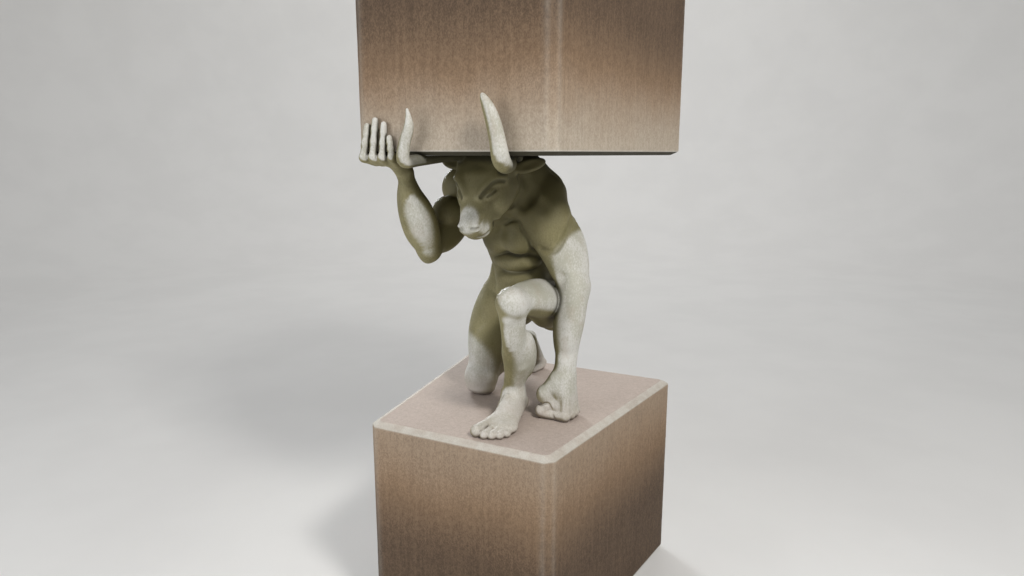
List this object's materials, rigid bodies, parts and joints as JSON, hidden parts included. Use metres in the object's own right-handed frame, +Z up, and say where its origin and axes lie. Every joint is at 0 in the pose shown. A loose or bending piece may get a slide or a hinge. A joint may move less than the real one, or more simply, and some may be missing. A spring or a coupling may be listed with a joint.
{
  "type": "minotaur statue",
  "caption": "Kneeling bull-headed man of carved stone who carries a tall stone block on his neck and palm, on a plinth block of the same plan.",
  "frame": {"origin": "middle of the plinth's underside", "axes": "+Z up, -Y the way the figure looks, +X to its left hand"},
  "size_m": [1.0424, 1.1083, 2.652],
  "materials": {
    "sandstone": "fine-grained brown sandstone, sawn flat, with worn pale edges",
    "carved_stone": "grey-green stone, carved and rubbed smooth"
  },
  "bodies": {
    "root": {"plinth": "sandstone", "figure": "carved_stone", "upper_block": "sandstone"}
  },
  "joints": []
}
